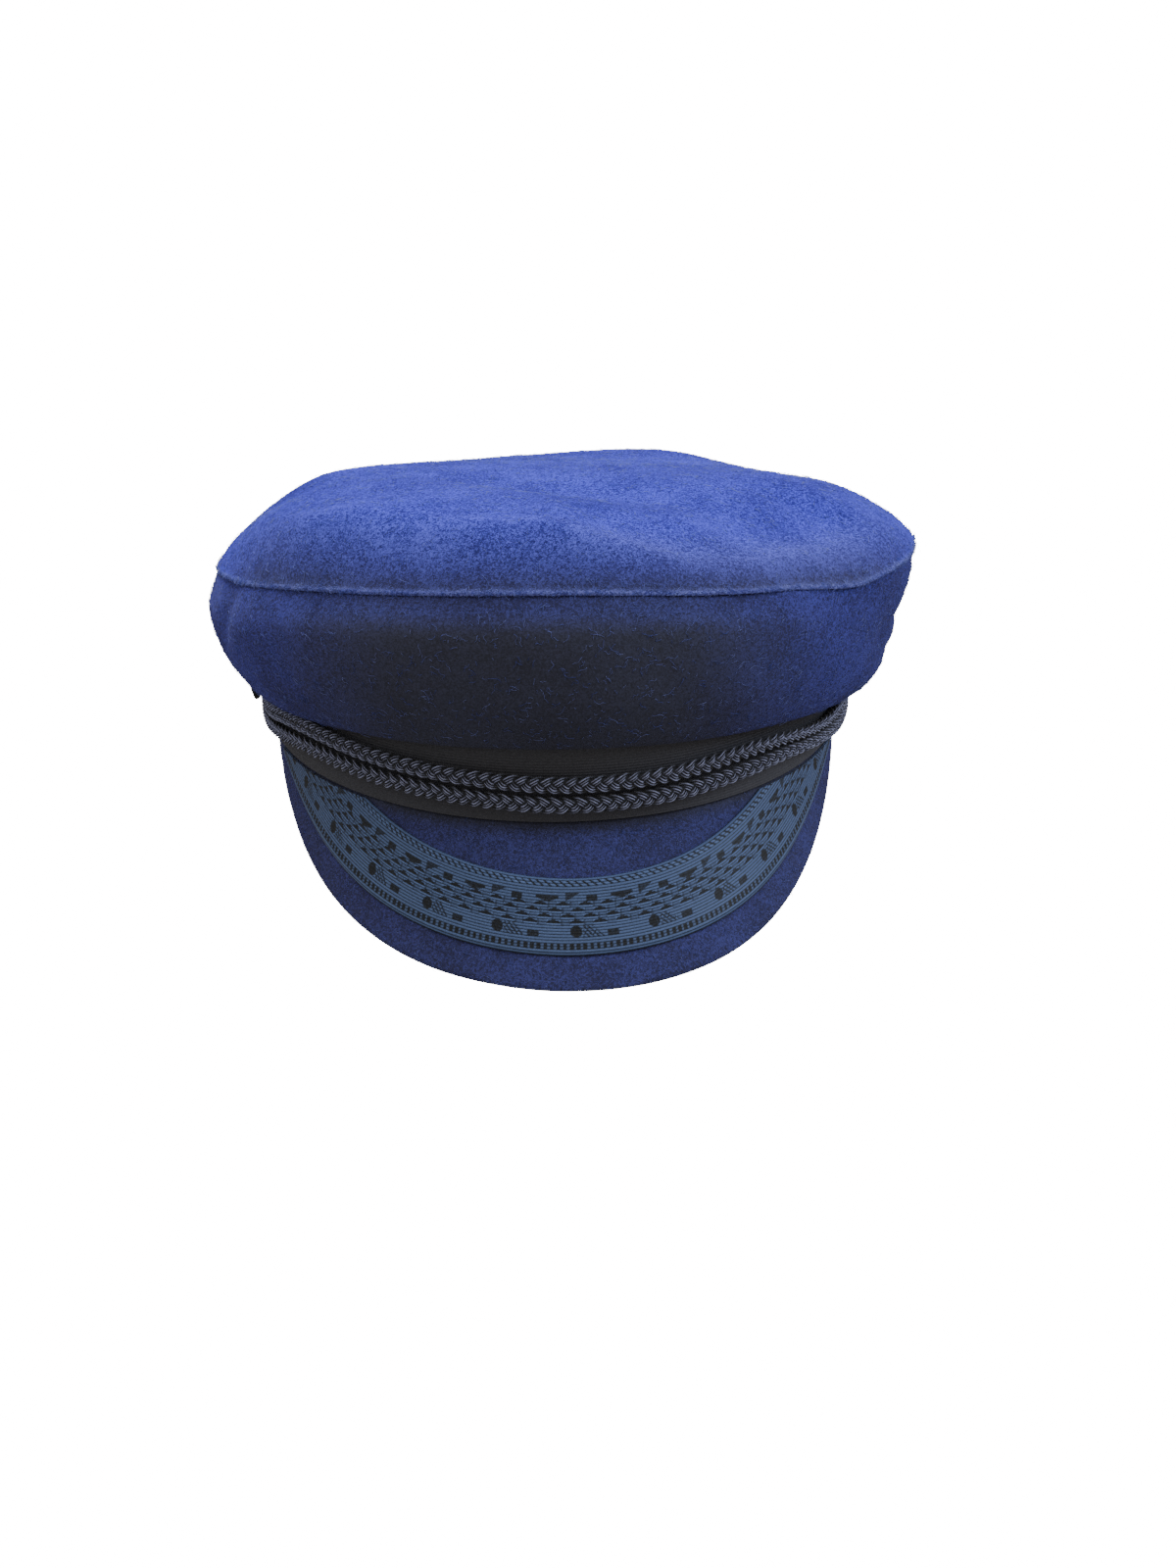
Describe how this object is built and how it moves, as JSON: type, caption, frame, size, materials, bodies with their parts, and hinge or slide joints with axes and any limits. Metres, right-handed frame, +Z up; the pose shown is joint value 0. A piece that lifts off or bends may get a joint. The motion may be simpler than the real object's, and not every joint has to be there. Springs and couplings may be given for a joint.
{
  "type": "peaked mariner's cap",
  "caption": "Soft wool cap with a full crown over an upright band, a short sloping peak with a woven ribbon, and a doubled braided cord hooked on side buttons.",
  "frame": {"origin": "on the surface that the cap rests on, under the middle of its bounding box", "axes": "+Z up, the peak points along -Y, and +X is the wearer's left"},
  "size_m": [0.214, 0.2539, 0.1148],
  "materials": {
    "wool": "napped blue wool melton",
    "band_ribbon": "ribbed black ribbon",
    "woven_trim": "woven patterned ribbon in blue grey and black",
    "cord_yarn": "braided charcoal yarn",
    "button": "smooth dark satin"
  },
  "bodies": {
    "root": {"crown_top": "wool", "crown_side": "wool", "head_band": "wool", "peak": "wool", "band_ribbon": "band_ribbon", "peak_trim": "woven_trim", "front_cord": "cord_yarn", "side_button_left": "button", "side_button_right": "button"}
  },
  "joints": []
}
